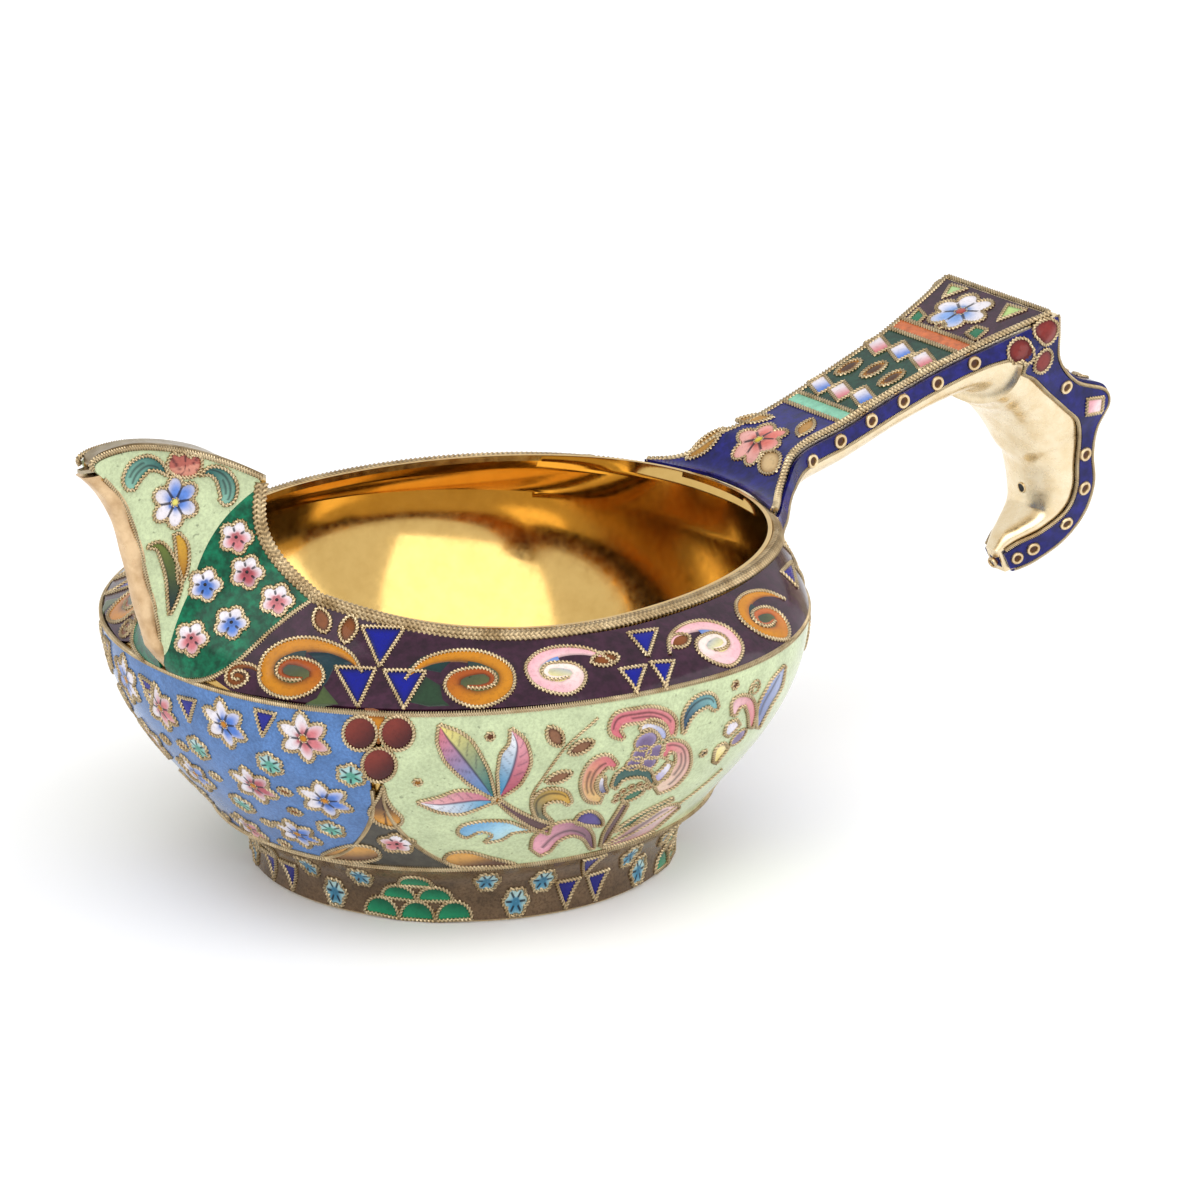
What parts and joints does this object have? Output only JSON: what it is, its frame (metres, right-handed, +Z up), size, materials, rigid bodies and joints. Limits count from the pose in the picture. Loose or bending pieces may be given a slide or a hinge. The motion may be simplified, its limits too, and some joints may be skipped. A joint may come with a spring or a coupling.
{
  "type": "ladle",
  "caption": "Low round silver-gilt drinking ladle with a tall pointed prow and a box-shaped hooked handle, its outside covered with coloured enamel panels between twisted wires.",
  "frame": {"origin": "middle of the bounding box, on the plane the foot stands on", "axes": "+X along the length, from the pointed prow towards the hooked handle; +Z up; +Y completes the right-handed frame, so the prow points to -X"},
  "size_m": [0.131, 0.0718, 0.0527],
  "materials": {
    "gilt": "polished silver-gilt, pale gold",
    "gilt_inside": "polished silver-gilt, deep gold inside",
    "gilt_wire": "twisted silver-gilt wire",
    "blue_enamel": "glossy stippled periwinkle enamel",
    "cream_enamel": "glossy stippled greenish cream enamel",
    "green_enamel": "glossy translucent dark green enamel",
    "aubergine_enamel": "glossy aubergine enamel",
    "brown_enamel": "glossy stippled brown enamel",
    "grey_enamel": "glossy grey-brown enamel",
    "navy_enamel": "glossy deep blue enamel",
    "turquoise_enamel": "glossy turquoise enamel",
    "dark_green_enamel": "glossy dark green enamel",
    "orange_enamel": "glossy orange enamel"
  },
  "bodies": {
    "root": {"bowl": "gilt_inside", "foot_ring": "gilt", "foot_band_enamel": "brown_enamel", "front_blue_panel": "blue_enamel", "rear_blue_panel": "blue_enamel", "cream_side_panel_near": "cream_enamel", "cream_side_panel_far": "cream_enamel", "spandrel_front_near": "grey_enamel", "spandrel_front_far": "grey_enamel", "spandrel_rear_near": "grey_enamel", "spandrel_rear_far": "grey_enamel", "shoulder_band_near": "aubergine_enamel", "shoulder_band_far": "aubergine_enamel", "prow_green_panel_near": "green_enamel", "prow_green_panel_far": "green_enamel", "prow_cream_panel_near": "cream_enamel", "prow_cream_panel_far": "cream_enamel", "prow_lower_wire_near": "gilt_wire", "prow_lower_wire_far": "gilt_wire", "prow_edge_wire_near": "gilt_wire", "prow_edge_wire_far": "gilt_wire", "handle_side_band_near": "navy_enamel", "handle_side_band_far": "navy_enamel", "strap_edge_wire_near": "gilt_wire", "strap_edge_wire_far": "gilt_wire", "belly_wire": "gilt_wire", "foot_top_wire": "gilt_wire", "rim_rope": "gilt_wire", "prow_top_plate": "gilt", "prow_stem_strip": "gilt", "handle_body": "gilt", "strap_root_panel": "navy_enamel", "strap_turquoise_panel": "turquoise_enamel", "strap_lozenge_panel": "dark_green_enamel", "strap_orange_panel": "orange_enamel", "strap_end_panel": "aubergine_enamel", "hook_back_panel": "navy_enamel"}
  },
  "joints": []
}
